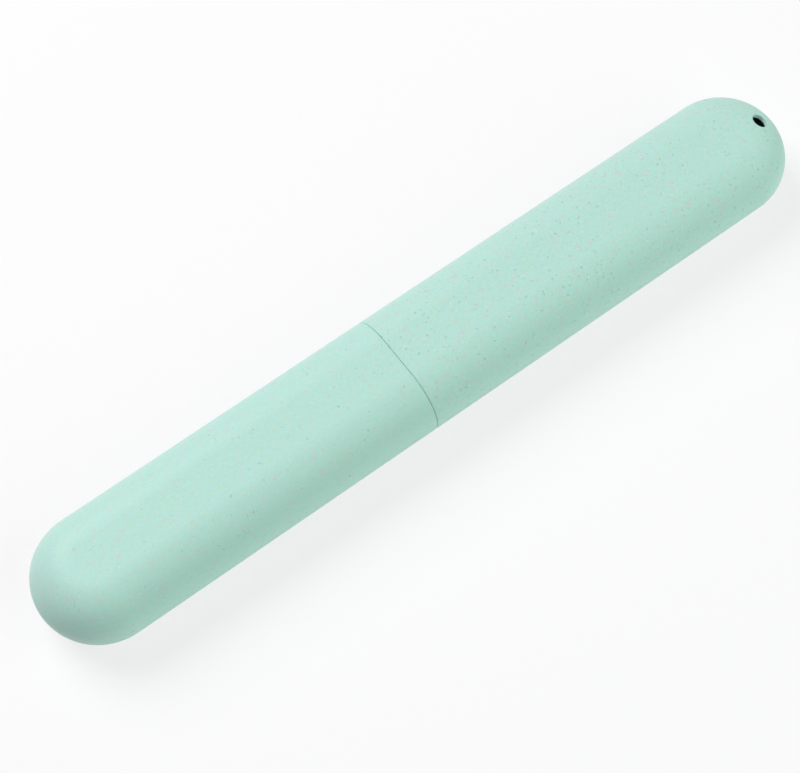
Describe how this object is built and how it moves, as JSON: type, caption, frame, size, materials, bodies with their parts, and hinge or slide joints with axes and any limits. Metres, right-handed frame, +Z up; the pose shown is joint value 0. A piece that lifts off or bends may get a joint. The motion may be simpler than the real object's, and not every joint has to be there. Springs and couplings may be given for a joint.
{
  "type": "toothbrush case",
  "caption": "Travel toothbrush case of oval section with rounded ends: a body shell with a neck, and a push-on cap with a vent hole near its tip.",
  "frame": {"origin": "bottom centre of the closed case, on the surface it lies on, midway between the two tips", "axes": "+X along the case towards the tip of the cap, +Z up with the vent hole in the upper face, +Y across"},
  "size_m": [0.205, 0.03, 0.02],
  "materials": {
    "fibre_plastic": "matte mint green with fine plant-fibre flecks"
  },
  "bodies": {
    "body": {"body": "fibre_plastic"},
    "cap": {"cap": "fibre_plastic"}
  },
  "joints": [
    {"name": "cap_pull", "type": "slide", "parent": "body", "child": "cap", "axis": [1, 0, 0], "range_m": [0, 0.12]}
  ]
}
